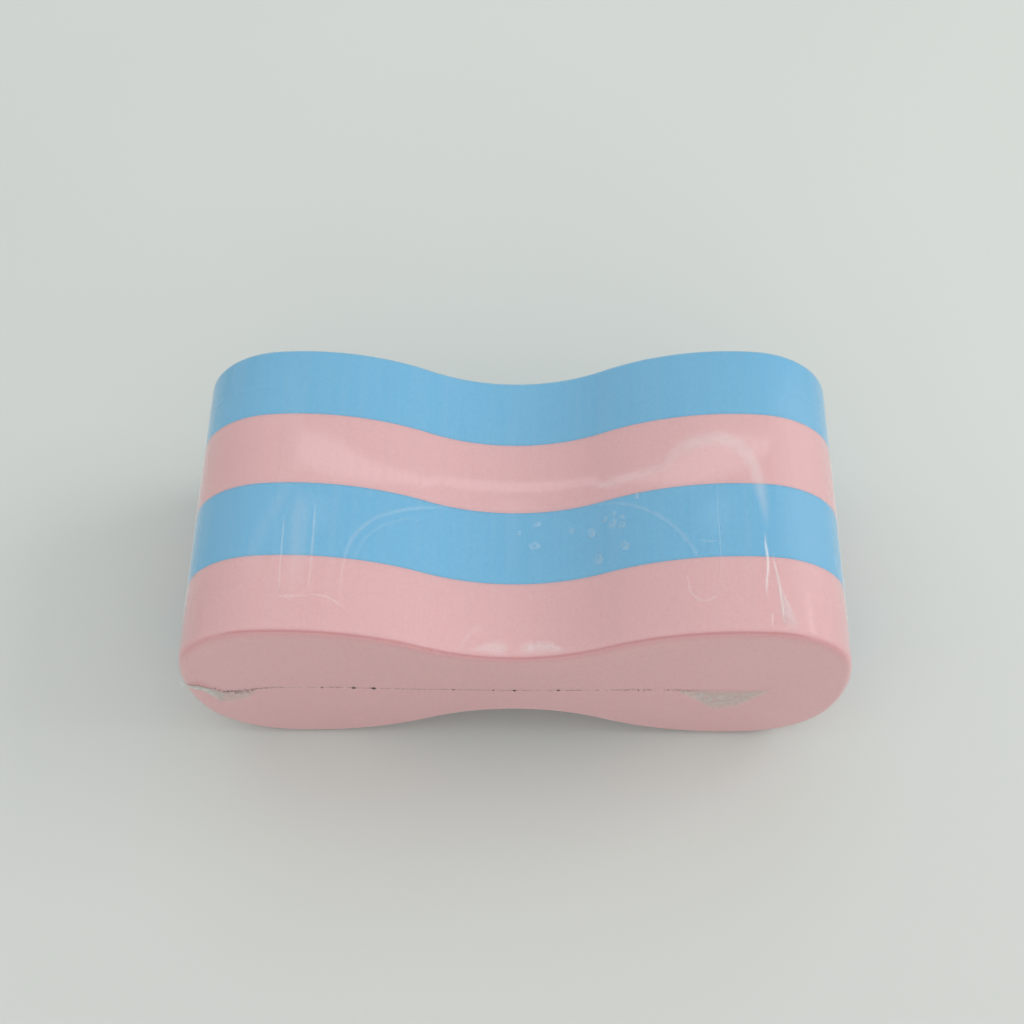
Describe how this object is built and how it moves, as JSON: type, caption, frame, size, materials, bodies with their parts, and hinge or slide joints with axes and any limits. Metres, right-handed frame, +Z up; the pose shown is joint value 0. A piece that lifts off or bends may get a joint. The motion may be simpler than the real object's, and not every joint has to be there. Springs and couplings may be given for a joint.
{
  "type": "pull buoy",
  "caption": "Figure-eight swimming pull buoy of laminated foam sheets, waisted for the thighs, sealed in clear shrink film.",
  "frame": {"origin": "on the ground under the middle of the waist, with the buoy lying on its two lobes", "axes": "+X from lobe to lobe, +Y from the front end face to the back end face through the stacked sheets, +Z up"},
  "size_m": [0.2504, 0.121, 0.0965],
  "materials": {
    "foam_pink": "pale pink closed-cell EVA foam, smooth cut skin with a fine cell texture, satin",
    "foam_blue": "sky blue closed-cell EVA foam, smooth cut skin with a fine cell texture, satin",
    "adhesive": "dried contact adhesive, thin and matt",
    "clear_film": "clear glossy shrink film, frosted where it is gathered at the seam ends"
  },
  "bodies": {
    "root": {"foam_layer_1_pink": "foam_pink", "foam_layer_2_blue": "foam_blue", "foam_layer_3_pink": "foam_pink", "foam_layer_4_blue": "foam_blue", "glue_line_1": "adhesive", "glue_line_2": "adhesive", "glue_line_3": "adhesive", "shrink_film": "clear_film"}
  },
  "joints": []
}
